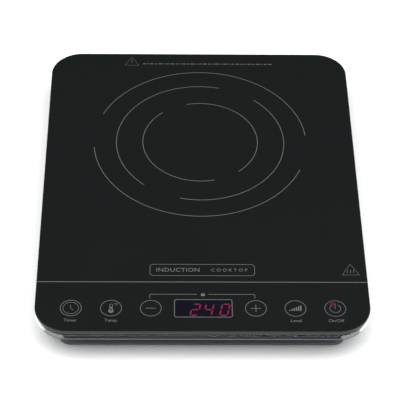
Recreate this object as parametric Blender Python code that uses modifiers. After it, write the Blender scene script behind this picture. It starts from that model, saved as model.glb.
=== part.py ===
"""Portable induction cooktop with one cooking zone, modelled as its separate pieces.

Metres, +Z up. The origin is at the middle of the footprint, on the surface that the feet stand on.
The keys are at the front, towards -Y. Each object is one piece of the real appliance.
"""

import math

import bmesh
import bpy
from mathutils import Matrix, Vector

# Driving dimensions
WIDTH = 0.280
DEPTH = 0.356
HEIGHT = 0.040
CORNER = 0.0287
GLASS = 0.004
OVERHANG = 0.0216
WALL = 0.002
GAP = 0.0003

# Heights, from the feet up
COVER_BOTTOM = 0.0018
COVER_FLOOR = COVER_BOTTOM + WALL
COVER_TOP = 0.0063
HOUSING_BOTTOM = COVER_TOP + GAP
SLOPE_BOTTOM = 0.0145
RIM_BOTTOM = 0.0310
RIM_TOP = 0.0334
LIP_TOP = RIM_BOTTOM - GAP
SLOPE_TOP = LIP_TOP - 0.0012
HOUSING_TOP = 0.0333
GLASS_BOTTOM = HEIGHT - GLASS

# Places in plan. An inset is measured inwards from the glass's outline
COVER_INSET = 0.0190
COVER_CHAMFER = 0.0024
POCKET_INSET = 0.0256
RIM_INSET, RIM_LEAN, RIM_SEAT = 0.0001, 0.0015, 0.0030
LIP_INSET = 0.0004
GASKET_INSET, FLANGE_INSET = 0.0037, 0.0088
SCREW_HOLE = 0.0016
FOOT_X, FOOT_Y = 0.096, 0.133
SCREW_X, SCREW_Y = 0.1125, 0.1505
GLAND_X, GLAND_Z, GLAND_FACE = 0.080, 0.0148, 0.166
CORD_RADIUS = 0.0037
ZONE_Y = 0.0535
FAN_X, FAN_Y = -0.072, -0.078
KEY_Y = -0.1522
KEY_PLACES = (-0.1103, -0.0769, -0.0438, 0.0438, 0.0769, 0.1103)

# Induction coil
WIRE = 0.0017
COIL_START, COIL_PITCH, COIL_TURNS = 0.024, 0.00455, 12
COIL_Z = 0.0332
FORMER_RADIUS, FORMER_BOTTOM, FORMER_TOP = 0.082, 0.0297, 0.0312
FERRITE_BOTTOM, FERRITE_TOP = 0.0243, 0.0293

# Fan
FAN_SIDE, FAN_BOTTOM, FAN_TOP = 0.070, 0.0043, 0.0183
FAN_BORE = 0.032
FAN_BASE_TOP = FAN_BOTTOM + 0.002
FAN_PIN = 0.031
BLADES = 7

# Circuit boards
BOARD = 0.0016
POWER_BOTTOM = 0.009
POWER_TOP = POWER_BOTTOM + BOARD
POWER_X, POWER_Y = (-0.028, 0.112), (-0.124, -0.034)
ON_POWER = POWER_TOP + GAP
CONTROL_BOTTOM = 0.0285
CONTROL_TOP = CONTROL_BOTTOM + BOARD
CONTROL_X, CONTROL_Y = 0.119, (-0.166, -0.128)
ON_CONTROL = CONTROL_TOP + GAP

# Colour, roughness and metallic value of each finish
LOOKS = {
    "black_glass": ((0.012, 0.014, 0.014), 0.08, 0.0),
    "silicone": ((0.02, 0.02, 0.02), 0.7, 0.0),
    "bright_rim": ((0.75, 0.76, 0.76), 0.18, 1.0),
    "grey_plastic": ((0.035, 0.042, 0.048), 0.35, 0.0),
    "cover_plastic": ((0.09, 0.105, 0.115), 0.5, 0.0),
    "rubber": ((0.02, 0.02, 0.021), 0.85, 0.0),
    "steel": ((0.55, 0.55, 0.56), 0.3, 1.0),
    "label": ((0.5, 0.5, 0.5), 0.5, 0.0),
    "former_plastic": ((0.75, 0.73, 0.68), 0.55, 0.0),
    "copper": ((0.72, 0.38, 0.2), 0.35, 1.0),
    "ferrite": ((0.05, 0.05, 0.055), 0.6, 0.0),
    "mica": ((0.6, 0.56, 0.45), 0.5, 0.0),
    "white_rubber": ((0.8, 0.8, 0.78), 0.6, 0.0),
    "board": ((0.03, 0.16, 0.06), 0.4, 0.0),
    "aluminium": ((0.7, 0.71, 0.72), 0.35, 1.0),
    "chip": ((0.02, 0.02, 0.022), 0.45, 0.0),
    "capacitor": ((0.55, 0.4, 0.08), 0.4, 0.0),
    "display": ((0.02, 0.02, 0.03), 0.25, 0.0),
    "lamp": ((0.7, 0.05, 0.04), 0.2, 0.0),
    "cable": ((0.7, 0.7, 0.7), 0.5, 0.0),
}


def new_collection(name, parent, helper=False):
    made = bpy.data.collections.new(name)
    made.hide_render = helper
    parent.children.link(made)
    return made


def material(look):
    """The material of a finish, made when it is first asked for."""
    found = bpy.data.materials.get(look)
    if found:
        return found
    colour, roughness, metallic = LOOKS[look]
    found = bpy.data.materials.new(look)
    found.use_nodes = True
    shader = found.node_tree.nodes["Principled BSDF"]
    shader.inputs["Base Color"].default_value = (*colour, 1)
    shader.inputs["Roughness"].default_value = roughness
    shader.inputs["Metallic"].default_value = metallic
    found.diffuse_color = (*colour, 1)
    return found


def add(name, data, look, home=None):
    """An object for the data. A look of None makes it a helper, which isn't a piece."""
    made = bpy.data.objects.new(name, data)
    (home or PIECES).objects.link(made)
    if look:
        data.materials.append(material(look))
    else:
        made.hide_render = True
        made.display_type = "WIRE"
    return made


def add_mesh(name, shape, look, home=None, smooth=False):
    bmesh.ops.recalc_face_normals(shape, faces=shape.faces)
    mesh = bpy.data.meshes.new(name)
    shape.to_mesh(mesh)
    shape.free()
    if smooth:
        mesh.shade_smooth()
        mesh.set_sharp_from_angle(angle=math.radians(35))
    return add(name, mesh, look, home)


def block(name, x, y, z, look, home=None, corner=0.0, steps=3, chamfer=0.0):
    """A box between two values on each axis, its upright edges rounded and its top chamfered."""
    shape = bmesh.new()
    bmesh.ops.create_cube(shape, size=1)
    size = Vector((x[1] - x[0], y[1] - y[0], z[1] - z[0]))
    centre = Vector((x[0] + x[1], y[0] + y[1], z[0] + z[1])) / 2
    bmesh.ops.scale(shape, vec=size, verts=shape.verts)
    bmesh.ops.translate(shape, vec=centre, verts=shape.verts)
    if corner:
        upright = [e for e in shape.edges if abs(e.verts[0].co.z - e.verts[1].co.z) > size.z / 2]
        bmesh.ops.bevel(
            shape, geom=upright, offset=corner, segments=steps, profile=0.5, affect="EDGES"
        )
    if chamfer:
        top = [e for e in shape.edges if min(v.co.z for v in e.verts) > z[1] - size.z / 4]
        bmesh.ops.bevel(shape, geom=top, offset=chamfer, segments=1, profile=0.5, affect="EDGES")
    return add_mesh(name, shape, look, home, smooth=corner > 0)


def slab(name, inset, z, look, home=None, steps=10, chamfer=0.0):
    """A plate with the glass's outline, drawn in by inset all round."""
    half_x, half_y = WIDTH / 2 - inset, DEPTH / 2 - inset
    corner = CORNER - inset
    return block(name, (-half_x, half_x), (-half_y, half_y), z, look, home, corner, steps, chamfer)


def rod(name, x, y, z, radius, look, home=None, sides=20):
    """An upright cylinder."""
    shape = bmesh.new()
    bmesh.ops.create_cone(
        shape, cap_ends=True, segments=sides, radius1=radius, radius2=radius, depth=z[1] - z[0]
    )
    bmesh.ops.translate(shape, vec=(x, y, (z[0] + z[1]) / 2), verts=shape.verts)
    return add_mesh(name, shape, look, home, smooth=True)


def turned(name, profile, place, look, steps=24, turn=None):
    """A turned piece: (radius, height) points, from the top down the outside, turned round local Z."""
    mesh = bpy.data.meshes.new(name)
    edges = [(i, i + 1) for i in range(len(profile) - 1)]
    if profile[0][0] > 0:
        edges.append((len(profile) - 1, 0))
    mesh.from_pydata([(radius, 0, height) for radius, height in profile], edges, [])
    made = add(name, mesh, look)
    made.location = place
    made.rotation_euler = turn or (0, 0, 0)
    screw = made.modifiers.new("turn", "SCREW")
    screw.steps = screw.render_steps = steps
    screw.use_merge_vertices = True
    screw.merge_threshold = 0.00001
    screw.use_smooth_shade = True
    return made


def tube(name, points, radius, look, resolution=2):
    """A wire or lead through the points."""
    curve = bpy.data.curves.new(name, "CURVE")
    curve.dimensions = "3D"
    curve.bevel_depth = radius
    curve.bevel_resolution = resolution
    curve.use_fill_caps = True
    spline = curve.splines.new("POLY")
    spline.points.add(len(points) - 1)
    for target, point in zip(spline.points, points):
        target.co = (*point, 1)
    return add(name, curve, look)


def outline(name, points, thick, place, turn, look):
    """A flat outline stood upright and turned about Z: (across, height) points, made thick."""
    curve = bpy.data.curves.new(name, "CURVE")
    curve.dimensions = "2D"
    curve.fill_mode = "BOTH"
    curve.extrude = thick / 2
    spline = curve.splines.new("POLY")
    spline.use_cyclic_u = True
    spline.points.add(len(points) - 1)
    for target, point in zip(spline.points, points):
        target.co = (*point, 0, 1)
    made = add(name, curve, look)
    made.location = place
    made.rotation_euler = (math.pi / 2, 0, turn)
    return made


def combine(target, operation, helpers):
    """Joins the helper solids to the target, or cuts them out of it."""
    made = target.modifiers.new(operation.lower(), "BOOLEAN")
    made.operation = operation
    made.operand_type = "COLLECTION"
    made.collection = helpers


def rounded_loop(shape, inset, height, steps):
    """Vertices along the glass's outline, drawn in by inset, at one height."""
    radius = CORNER - inset
    verts = []
    for quarter, (side_x, side_y) in enumerate(((1, 1), (-1, 1), (-1, -1), (1, -1))):
        for step in range(steps + 1):
            angle = math.pi / 2 * (quarter + step / steps)
            x = side_x * (WIDTH / 2 - CORNER) + radius * math.cos(angle)
            y = side_y * (DEPTH / 2 - CORNER) + radius * math.sin(angle)
            verts.append(shape.verts.new((x, y, height)))
    return verts


def ring(name, section, look, steps=8):
    """A frame lofted round the glass's outline: its closed section is (inset, height) points."""
    shape = bmesh.new()
    loops = [rounded_loop(shape, inset, height, steps) for inset, height in section]
    for first, second in zip(loops, loops[1:] + loops[:1]):
        for i in range(len(first)):
            shape.faces.new((first[i - 1], first[i], second[i], second[i - 1]))
    return add_mesh(name, shape, look, smooth=True)


def glass_top():
    """The glass, the silicone bead it is bonded on, and the bright rim below its edge."""
    slab("glass_plate", 0, (GLASS_BOTTOM, HEIGHT), "black_glass", chamfer=0.0005)
    bead_z = (HOUSING_TOP + GAP, GLASS_BOTTOM - GAP)
    bead = [(GASKET_INSET, z) for z in bead_z] + [(FLANGE_INSET, z) for z in reversed(bead_z)]
    ring("glass_gasket", bead, "silicone")
    inner = RIM_SEAT - GAP
    rim = ((RIM_INSET, RIM_BOTTOM), (RIM_LEAN, RIM_TOP), (inner, RIM_TOP), (inner, RIM_BOTTOM))
    ring("trim_rim", rim, "bright_rim")


def upper_housing():
    """The moulded pan: a flange and a lip under the glass and its rim, a sloped underside that
    leaves room for fingers, and a short upright wall."""
    fall = (SLOPE_TOP - SLOPE_BOTTOM) / (OVERHANG - LIP_INSET)
    slope_wall = WALL * math.hypot(1, fall)

    def inside_slope(inset):
        return SLOPE_BOTTOM + (OVERHANG - inset) * fall + slope_wall

    inner, seat = OVERHANG + WALL, RIM_SEAT + WALL
    section = (
        (FLANGE_INSET, HOUSING_TOP), (RIM_SEAT, HOUSING_TOP), (RIM_SEAT, LIP_TOP), (LIP_INSET, LIP_TOP),
        (LIP_INSET, SLOPE_TOP), (OVERHANG, SLOPE_BOTTOM), (OVERHANG, HOUSING_BOTTOM),
        (inner, HOUSING_BOTTOM), (inner, inside_slope(inner)), (seat, inside_slope(seat)),
        (seat, HOUSING_TOP - WALL), (FLANGE_INSET, HOUSING_TOP - WALL),
    )
    housing = ring("upper_housing", section, "grey_plastic")

    joins = new_collection("upper_housing_joins", HELPERS, helper=True)
    cuts = new_collection("upper_housing_cuts", HELPERS, helper=True)
    boss_z, boss_hole_z = (HOUSING_BOTTOM, 0.0165), (0.005, 0.0145)
    for side_x in (-1, 1):
        for side_y in (-1, 1):
            x, y = side_x * SCREW_X, side_y * SCREW_Y
            rod(f"boss_{x}_{y}", x, y, boss_z, 0.004, None, joins)
            rod(f"boss_hole_{x}_{y}", x, y, boss_hole_z, SCREW_HOLE, None, cuts, sides=12)
    outlet_x = (GLAND_X - 0.010, GLAND_X + 0.010)
    block("cord_outlet", outlet_x, (0.150, GLAND_FACE), (HOUSING_BOTTOM, 0.024), None, joins)
    bore = rod("cord_outlet_bore", 0, 0, (-0.015, 0.015), 0.0053, None, cuts)
    bore.location = (GLAND_X, 0.158, GLAND_Z)
    bore.rotation_euler = (math.pi / 2, 0, 0)
    slot_y = (DEPTH / 2 - OVERHANG - 2 * WALL, DEPTH / 2 - OVERHANG + WALL)
    for number in range(8):
        x = -0.092 + 0.018 * number
        block(f"exhaust_{number}", (x, x + 0.012), slot_y, (0.0098, 0.0128), None, cuts)
    combine(housing, "UNION", joins)
    combine(housing, "DIFFERENCE", cuts)


def bottom_cover():
    """The tray that closes the base, with the posts and lips that hold the pieces inside."""
    height = (COVER_BOTTOM, COVER_TOP)
    cover = slab("bottom_cover", COVER_INSET, height, "cover_plastic", steps=6, chamfer=COVER_CHAMFER)
    joins = new_collection("bottom_cover_joins", HELPERS, helper=True)
    cuts = new_collection("bottom_cover_cuts", HELPERS, helper=True)
    pocket = new_collection("bottom_cover_pocket", HELPERS, helper=True)
    slab("pocket", POCKET_INSET, (COVER_FLOOR, 0.012), None, pocket, steps=4)

    root = COVER_FLOOR - 0.001
    posts = [(x, y, POWER_BOTTOM - GAP) for x in (-0.023, 0.107) for y in (-0.119, -0.039)]
    posts += [(x, y, CONTROL_BOTTOM - GAP) for x in (-0.105, 0.105) for y in (-0.150, -0.133)]
    for degrees in (30, 150, 270):
        angle = math.radians(degrees)
        x, y = 0.074 * math.cos(angle), ZONE_Y + 0.074 * math.sin(angle)
        posts.append((x, y, FORMER_BOTTOM - GAP))
    for number, (x, y, top) in enumerate(posts):
        rod(f"post_{number}", x, y, (root, top), 0.003, None, joins, sides=12)
    for side in (-1, 1):
        x, y = FAN_X + side * FAN_PIN, FAN_Y + side * FAN_PIN
        rod(f"fan_pin_{side}", x, y, (root, 0.012), 0.0016, None, joins, sides=12)

    lip = (COVER_TOP - 0.002, 0.010)
    inner, outer = POCKET_INSET + 0.0002, OVERHANG + WALL + GAP
    for side in (-1, 1):
        x = sorted((side * (WIDTH / 2 - outer), side * (WIDTH / 2 - inner)))
        y = sorted((side * (DEPTH / 2 - outer), side * (DEPTH / 2 - inner)))
        block(f"side_lip_{side}", x, (-0.130, 0.130), lip, None, joins)
        block(f"end_lip_{side}", (-0.095, 0.060), y, lip, None, joins)

    for side_x in (-1, 1):
        for side_y in (-1, 1):
            x, y = side_x * SCREW_X, side_y * SCREW_Y
            rod(f"pad_{x}_{y}", x, y, (root, COVER_TOP - 0.0001), 0.0052, None, joins)
            rod(f"screw_hole_{x}_{y}", x, y, (0, 0.009), SCREW_HOLE, None, cuts, sides=12)
            rod(f"screw_recess_{x}_{y}", x, y, (0, 0.0039), 0.0031, None, cuts, sides=16)
            x, y = side_x * FOOT_X, side_y * FOOT_Y
            rod(f"foot_hole_{x}_{y}", x, y, (0, 0.006), 0.0028, None, cuts, sides=12)

    pitch, reach = 0.0052, 0.031
    for number in range(-5, 6):
        y = FAN_Y + number * pitch
        half = math.sqrt(reach**2 - (number * pitch) ** 2)
        slot_y = (y - 0.0013, y + 0.0013)
        block(f"intake_{number}", (FAN_X - half, FAN_X + half), slot_y, (0, 0.006), None, cuts)
    for number in range(12):
        x = -0.082 + 0.009 * number
        block(f"rear_vent_{number}", (x, x + 0.003), (0.118, 0.144), (0, 0.006), None, cuts)

    combine(cover, "DIFFERENCE", pocket)
    combine(cover, "UNION", joins)
    combine(cover, "DIFFERENCE", cuts)


def feet_and_screws():
    """Rubber feet with a stem and barb through the base, and pan-head screws beside them."""
    top = COVER_BOTTOM - GAP
    foot = (
        (0, 0.0056), (0.0026, 0.0056), (0.0036, 0.0041), (0.0025, 0.0041), (0.0025, top),
        (0.009, top), (0.009, 0.0004), (0.0086, 0), (0, 0),
    )
    screw = (
        (0, 0.0132), (0.0006, 0.0132), (0.0013, 0.0122), (0.0013, 0.0036), (0.0028, 0.0036),
        (0.0028, 0.0026), (0.0022, 0.0020), (0, 0.0020),
    )
    for end, side_y in (("front", -1), ("rear", 1)):
        for side, side_x in (("left", -1), ("right", 1)):
            turned(f"foot_{end}_{side}", foot, (side_x * FOOT_X, side_y * FOOT_Y, 0), "rubber")
            place = (side_x * SCREW_X, side_y * SCREW_Y, 0)
            turned(f"cover_screw_{end}_{side}", screw, place, "steel", steps=16)
    block("rating_plate", (0.030, 0.086), (0.060, 0.096), (0.0011, 0.0015), "label", corner=0.002)


def cord_outlet():
    """The gland in the rear wall that a mains cord comes in through."""
    gland = (
        (CORD_RADIUS, 0.0028), (0.0060, 0.0028), (0.0060, GAP), (0.0050, GAP), (0.0050, -0.0170),
        (CORD_RADIUS, -0.0170),
    )
    place = (GLAND_X, GLAND_FACE, GLAND_Z)
    turned("cord_gland", gland, place, "silicone", turn=(-math.pi / 2, 0, 0))


def coil():
    """The induction coil: a litz wire wound flat on a former, ferrite bars below and mica above."""
    height = (FORMER_BOTTOM, FORMER_TOP)
    former = rod("coil_former", 0, ZONE_Y, height, FORMER_RADIUS, "former_plastic", sides=48)
    joins = new_collection("coil_former_joins", HELPERS, helper=True)
    cuts = new_collection("coil_former_cuts", HELPERS, helper=True)
    rod("former_centre", 0, ZONE_Y, (0.020, 0.040), 0.011, None, cuts)
    rod("former_lead_hole", 0, ZONE_Y - 0.019, (0.020, 0.040), 0.0035, None, cuts, sides=12)
    for number in range(6):
        turn = Matrix.Translation((0, ZONE_Y, 0)) @ Matrix.Rotation(math.radians(60 * number), 4, "Z")
        name, height = f"ferrite_bar_{number + 1}", (FERRITE_BOTTOM, FERRITE_TOP)
        bar = block(name, (0.025, 0.077), (-0.006, 0.006), height, "ferrite")
        bar.matrix_world = turn
        for side in (-1, 1):
            y = sorted((side * 0.0064, side * 0.0078))
            rib = block(f"rib_{number}_{side}", (0.024, 0.078), y, (0.0250, 0.0302), None, joins)
            rib.matrix_world = turn
        window = rod(f"window_{number}", 0.050, 0, (0.020, 0.040), 0.0085, None, cuts, sides=16)
        window.matrix_world = turn @ Matrix.Rotation(math.radians(30), 4, "Z")
    combine(former, "UNION", joins)
    combine(former, "DIFFERENCE", cuts)

    start = math.radians(285)
    per_turn = 16
    points = [
        (0.010, -0.044, ON_POWER), (0.010, -0.044, 0.0140), (0.010, -0.040, 0.0180),
        (0.009, -0.025, 0.0205), (0.006, 0.010, 0.0212), (0, ZONE_Y - 0.019, 0.0235),
        (0, ZONE_Y - 0.019, COIL_Z),
    ]
    for step in range(COIL_TURNS * per_turn + 1):
        angle = start + 2 * math.pi * step / per_turn
        radius = COIL_START + COIL_PITCH * step / per_turn
        points.append((radius * math.cos(angle), ZONE_Y + radius * math.sin(angle), COIL_Z))
    points += [
        (0.0260, -0.0300, COIL_Z), (0.0265, -0.0340, 0.0280), (0.0265, -0.0400, 0.0180),
        (0.0265, -0.0430, 0.0140), (0.0265, -0.0430, ON_POWER),
    ]
    tube("coil_winding", points, WIRE, "copper", resolution=1)

    low = COIL_Z + WIRE + GAP
    mica = rod("mica_sheet", 0, ZONE_Y, (low, GLASS_BOTTOM - GAP), 0.084, "mica", sides=48)
    opening = new_collection("mica_sheet_cuts", HELPERS, helper=True)
    rod("mica_opening", 0, ZONE_Y, (0.030, 0.040), 0.012, None, opening)
    combine(mica, "DIFFERENCE", opening)

    holder = (
        (0.0024, 0.0355), (0.0085, 0.0355), (0.0085, 0.0332), (0.0140, 0.0332), (0.0140, 0.0315),
        (0.0105, 0.0315), (0.0095, 0.0260), (0.0014, 0.0260), (0.0014, 0.0322), (0.0024, 0.0322),
    )
    turned("thermistor_holder", holder, (0, ZONE_Y, 0), "white_rubber", steps=16)
    bead = (
        (0, 0.0357), (0.0014, 0.0356), (0.0020, 0.0350), (0.0020, 0.0330), (0.0012, 0.0325),
        (0, 0.0325),
    )
    turned("thermistor", bead, (0, ZONE_Y, 0), "chip", steps=12)
    lead = [
        (0, ZONE_Y, 0.0322), (0, ZONE_Y, 0.0240), (0.002, ZONE_Y - 0.002, 0.0190),
        (0.010, 0.040, 0.0160), (0.024, 0.010, 0.0150), (0.038, -0.020, 0.0150),
        (0.042, -0.036, 0.0140), (0.042, -0.040, 0.0125), (0.042, -0.040, ON_POWER),
    ]
    tube("thermistor_lead", lead, 0.0009, "cable", resolution=1)


def fan():
    """The cooling fan: a square frame with a stator on its base, and the rotor that turns on it."""
    half = FAN_SIDE / 2
    x, y = (FAN_X - half, FAN_X + half), (FAN_Y - half, FAN_Y + half)
    frame = block("fan_frame", x, y, (FAN_BOTTOM, FAN_TOP), "chip", corner=0.004)
    bore = new_collection("fan_frame_bore", HELPERS, helper=True)
    joins = new_collection("fan_frame_joins", HELPERS, helper=True)
    rod("fan_bore", FAN_X, FAN_Y, (0, 0.025), FAN_BORE, None, bore, sides=40)
    for side_x in (-1, 1):
        for side_y in (-1, 1):
            place = (FAN_X + side_x * FAN_PIN, FAN_Y + side_y * FAN_PIN)
            rod(f"fan_hole_{side_x}_{side_y}", *place, (0, 0.025), 0.0020, None, bore, sides=12)
    rod("fan_base", FAN_X, FAN_Y, (FAN_BOTTOM, FAN_BASE_TOP), 0.013, None, joins, sides=24)
    for number in range(4):
        name, height = f"fan_strut_{number}", (FAN_BOTTOM, FAN_BASE_TOP)
        strut = block(name, (0.010, 0.033), (-0.0013, 0.0013), height, None, joins)
        turn = Matrix.Rotation(math.radians(90 * number + 20), 4, "Z")
        strut.matrix_world = Matrix.Translation((FAN_X, FAN_Y, 0)) @ turn
    combine(frame, "DIFFERENCE", bore)
    combine(frame, "UNION", joins)

    stator = (
        (0.0018, 0.0148), (0.0060, 0.0148), (0.0095, 0.0130), (0.0095, 0.0082), (0.0060, 0.0066),
        (0.0018, 0.0066),
    )
    turned("fan_stator", stator, (FAN_X, FAN_Y, 0), "copper", steps=16)

    hub = (
        (0, 0.0175), (0.0115, 0.0175), (0.0125, 0.0165), (0.0125, 0.0070), (0.0107, 0.0070),
        (0.0107, 0.0160), (0.0012, 0.0160), (0.0012, 0.0067), (0, 0.0067),
    )
    rotor = turned("fan_rotor", hub, (FAN_X, FAN_Y, 0), "chip")
    blades = new_collection("fan_rotor_blades", HELPERS, helper=True)
    for number in range(BLADES):
        name, thick = f"blade_{number}", (-0.0005, 0.0005)
        blade = block(name, (0.0115, 0.0300), (-0.007, 0.007), thick, None, blades)
        pitch = Matrix.Rotation(math.radians(35), 4, "X")
        turn = Matrix.Rotation(2 * math.pi * number / BLADES, 4, "Z")
        blade.matrix_world = Matrix.Translation((FAN_X, FAN_Y, 0.0119)) @ turn @ pitch
    combine(rotor, "UNION", blades)
    lead = [
        (FAN_X + half + GAP, -0.060, 0.0125), (-0.0345, -0.060, 0.0125), (-0.026, -0.0585, 0.0140),
        (-0.0225, -0.058, 0.0130), (-0.022, -0.058, ON_POWER),
    ]
    tube("fan_lead", lead, 0.0009, "cable", resolution=1)


def power_board():
    """The power board and what is soldered to it, with the heatsink over its two flat devices."""
    block("power_board", POWER_X, POWER_Y, (POWER_BOTTOM, POWER_TOP), "board")
    device_top = ON_POWER + 0.0049
    block("igbt", (-0.014, 0.002), (-0.102, -0.082), (ON_POWER, device_top), "chip")
    block("bridge_rectifier", (0.008, 0.028), (-0.103, -0.081), (ON_POWER, device_top), "chip")

    first, low, high = -0.0200, device_top + GAP, 0.0268
    fins, pitch, thick, plate = 9, 0.0061, 0.0013, 0.003
    comb = [(first, low), (first + pitch * (fins - 1) + thick, low)]
    for number in reversed(range(fins)):
        left = first + pitch * number
        comb += [(left + thick, high), (left, high)]
        if number:
            comb += [(left, low + plate), (left - pitch + thick, low + plate)]
    outline("heatsink", comb, 0.040, (0, -0.092, 0), 0, "aluminium")

    boxes = {
        "resonant_capacitor": ((0.041, 0.083), (-0.116, -0.099), 0.0262, "capacitor", 0.002),
        "filter_capacitor": ((0.046, 0.078), (-0.093, -0.079), 0.0242, "capacitor", 0.002),
        "line_capacitor": ((0.088, 0.108), (-0.114, -0.102), 0.0222, "capacitor", 0.0015),
        "current_transformer": ((0.040, 0.052), (-0.073, -0.063), 0.0230, "chip", 0.001),
        "mains_terminal": ((0.095, 0.109), (-0.070, -0.058), 0.0215, "white_rubber", 0.001),
    }
    for name, (x, y, top, look, corner) in boxes.items():
        block(name, x, y, (ON_POWER, top), look, corner=corner)
    transformer = block("transformer", (0.060, 0.080), (-0.068, -0.052), (ON_POWER, 0.0262), "ferrite")
    bobbin = new_collection("transformer_joins", HELPERS, helper=True)
    height = (ON_POWER + 0.002, 0.0240)
    block("bobbin", (0.063, 0.077), (-0.071, -0.049), height, None, bobbin, corner=0.002)
    combine(transformer, "UNION", bobbin)

    thick, middle = 0.0042, 0.009
    angles = [math.pi / 4 * -step for step in range(8)]
    choke = [(middle + thick * math.cos(angle), thick * math.sin(angle)) for angle in angles]
    turned("filter_choke", choke, (0.094, -0.087, ON_POWER + thick), "copper", steps=16)
    cap, half, glass = 0.0029, 0.010, 0.0025
    fuse = (
        (0, half), (cap, half), (cap, half / 2), (glass, half / 2 - 0.0002),
        (glass, 0.0002 - half / 2), (cap, -half / 2), (cap, -half), (0, -half),
    )
    place, along_x = (0.092, -0.046, ON_POWER + cap + 0.0001), (0, math.pi / 2, 0)
    turned("fuse", fuse, place, "steel", steps=14, turn=along_x)


def control_board():
    """The touch board: springs that carry each key's field to the glass, the display and the lamp."""
    across = (-CONTROL_X, CONTROL_X)
    block("control_board", across, CONTROL_Y, (CONTROL_BOTTOM, CONTROL_TOP), "board")
    block("display_module", (-0.0250, 0.0270), (-0.1640, -0.1410), (ON_CONTROL, 0.0352), "display")
    led_y, led_z = (-0.1420, -0.1390), (ON_CONTROL, 0.0325)
    block("power_led", (0.1020, 0.1050), led_y, led_z, "lamp", corner=0.0005)
    rod("buzzer", -0.0935, -0.136, (ON_CONTROL, 0.0345), 0.006, "chip")

    turns, per_turn, wire = 3, 9, 0.0004
    narrow, wide = 0.0042, 0.0064
    low, high = ON_CONTROL + wire, GLASS_BOTTOM - GAP - wire
    for number, x in enumerate(KEY_PLACES):
        points = []
        for step in range(turns * per_turn + 1):
            part = step / (turns * per_turn)
            angle = 2 * math.pi * step / per_turn
            radius = narrow + (wide - narrow) * part
            across, along = radius * math.cos(angle), radius * math.sin(angle)
            points.append((x + across, KEY_Y + along, low + part * (high - low)))
        tube(f"touch_spring_{number + 1}", points, wire, "steel", resolution=0)

    thick, top = 0.0010, CONTROL_BOTTOM - GAP
    front, rear, bend = -0.130, -0.1195, 0.0145
    strip = (
        (front, top), (front + thick, top), (front + thick, 0.0190), (rear, bend), (rear, ON_POWER),
        (rear - thick, ON_POWER), (rear - thick, bend - 0.0007), (front, 0.0184),
    )
    outline("ribbon_cable", strip, 0.014, (0.020, 0, 0), math.pi / 2, "cable")


for leftover in list(bpy.data.objects):
    bpy.data.objects.remove(leftover)
PIECES = new_collection("induction_cooktop", bpy.context.scene.collection)
HELPERS = new_collection("cutters", bpy.context.scene.collection, helper=True)
glass_top()
upper_housing()
bottom_cover()
feet_and_screws()
cord_outlet()
coil()
fan()
power_board()
control_board()
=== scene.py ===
import math

import bmesh
import bpy
from mathutils import Matrix, Vector


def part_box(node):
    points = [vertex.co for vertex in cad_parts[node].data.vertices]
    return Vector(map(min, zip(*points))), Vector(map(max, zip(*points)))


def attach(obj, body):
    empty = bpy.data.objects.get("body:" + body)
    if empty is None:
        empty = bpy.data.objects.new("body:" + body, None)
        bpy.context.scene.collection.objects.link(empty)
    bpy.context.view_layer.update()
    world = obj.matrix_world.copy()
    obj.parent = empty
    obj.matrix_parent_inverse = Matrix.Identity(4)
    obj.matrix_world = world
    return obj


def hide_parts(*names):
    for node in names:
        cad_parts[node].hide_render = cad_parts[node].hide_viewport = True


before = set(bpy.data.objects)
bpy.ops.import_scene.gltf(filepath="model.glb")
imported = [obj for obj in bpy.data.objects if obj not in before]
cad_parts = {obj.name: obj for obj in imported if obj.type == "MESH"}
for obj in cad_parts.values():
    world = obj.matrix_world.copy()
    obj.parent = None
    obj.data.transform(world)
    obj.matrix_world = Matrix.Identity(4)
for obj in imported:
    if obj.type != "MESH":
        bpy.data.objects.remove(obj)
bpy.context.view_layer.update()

mm = 0.001


# ---- The base tray --------------------------------------------------------------------------
# The tray that closes the appliance from below: one injection moulding in dark grey ABS, with a
# spark-eroded grain, a chamfered ledge, slots for the fan's air and posts that carry the boards.

class Value:
    """A socket among a material's nodes. Arithmetic on it adds Math nodes."""

    def __init__(self, tree, socket=None):
        self.tree = tree
        self.socket = socket

    def node(self, kind, settings=None, output=0, **sockets):
        """Adds a node: its settings first, then the value or link of each socket. A socket is
        given by its name, or as s and its number where several share a name."""
        made = self.tree.nodes.new("ShaderNode" + kind)
        for key, setting in (settings or {}).items():
            setattr(made, key, setting)
        for key, given in sockets.items():
            socket = made.inputs[int(key[1:]) if key[1:].isdigit() else key.replace("_", " ")]
            if isinstance(given, Value):
                self.tree.links.new(given.socket, socket)
            else:
                socket.default_value = given
        return Value(self.tree, made.outputs[output])

    def maths(self, operation, first, second):
        return self.node("Math", {"operation": operation}, s0=first, s1=second)

    def __add__(self, other):
        return self.maths("ADD", self, other)

    def __mul__(self, other):
        return self.maths("MULTIPLY", self, other)

    __radd__ = __add__
    __rmul__ = __mul__

    def mix(self, first, second):
        """A colour between two others, by this value."""
        return self.node("Mix", {"data_type": "RGBA"}, output=2, s0=self, s6=first, s7=second)


def new_material(name, metallic=0.0, **constants):
    """A material with a Principled shader, its object coordinates, and a way to feed the shader."""
    made = bpy.data.materials.new(name)
    made.use_nodes = True
    tree = made.node_tree
    shader = tree.nodes["Principled BSDF"]
    shader.inputs["Metallic"].default_value = metallic
    for key, constant in constants.items():
        shader.inputs[key.replace("_", " ")].default_value = constant
    place = Value(tree).node("TexCoord", output=3)

    def feed(**sockets):
        for key, given in sockets.items():
            tree.links.new(given.socket, shader.inputs[key.replace("_", " ")])

    return made, place, feed


def tint(colour, factor):
    """A colour made lighter or darker, with its alpha."""
    return (*(min(1.0, part * factor) for part in colour), 1)


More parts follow.
